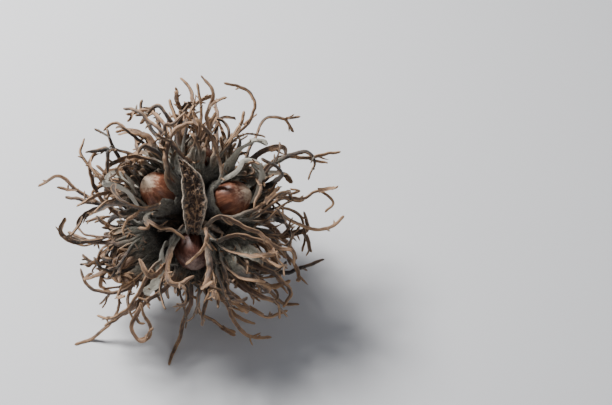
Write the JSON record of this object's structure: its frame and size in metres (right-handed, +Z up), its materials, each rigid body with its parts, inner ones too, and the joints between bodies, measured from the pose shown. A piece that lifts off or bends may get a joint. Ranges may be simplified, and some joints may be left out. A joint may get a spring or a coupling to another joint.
{
  "type": "dried tree hazelnut cluster",
  "caption": "Dried head of tree hazelnuts: ripe nuts held in felted husks whose rims run out into long, curled, forked lobes.",
  "frame": {"origin": "on the surface that the cluster lies on, under the middle of its bounding box", "axes": "+X to the cluster's right, +Z up, and the open face with three nuts in view looks towards -Y and up"},
  "size_m": [0.1097, 0.0921, 0.0878],
  "materials": {
    "husk": "dry, rough and felted",
    "nut": "satin shell",
    "stalk": "dry bark"
  },
  "bodies": {
    "root": {"stalk": "stalk", "husk_1": "husk", "husk_2": "husk", "husk_3": "husk", "husk_4": "husk", "husk_5": "husk", "husk_6": "husk", "husk_7": "husk", "husk_8": "husk", "nut_1": "nut", "nut_2": "nut", "nut_3": "nut", "nut_4": "nut", "nut_5": "nut", "nut_6": "nut", "nut_7": "nut", "nut_8": "nut"}
  },
  "joints": []
}
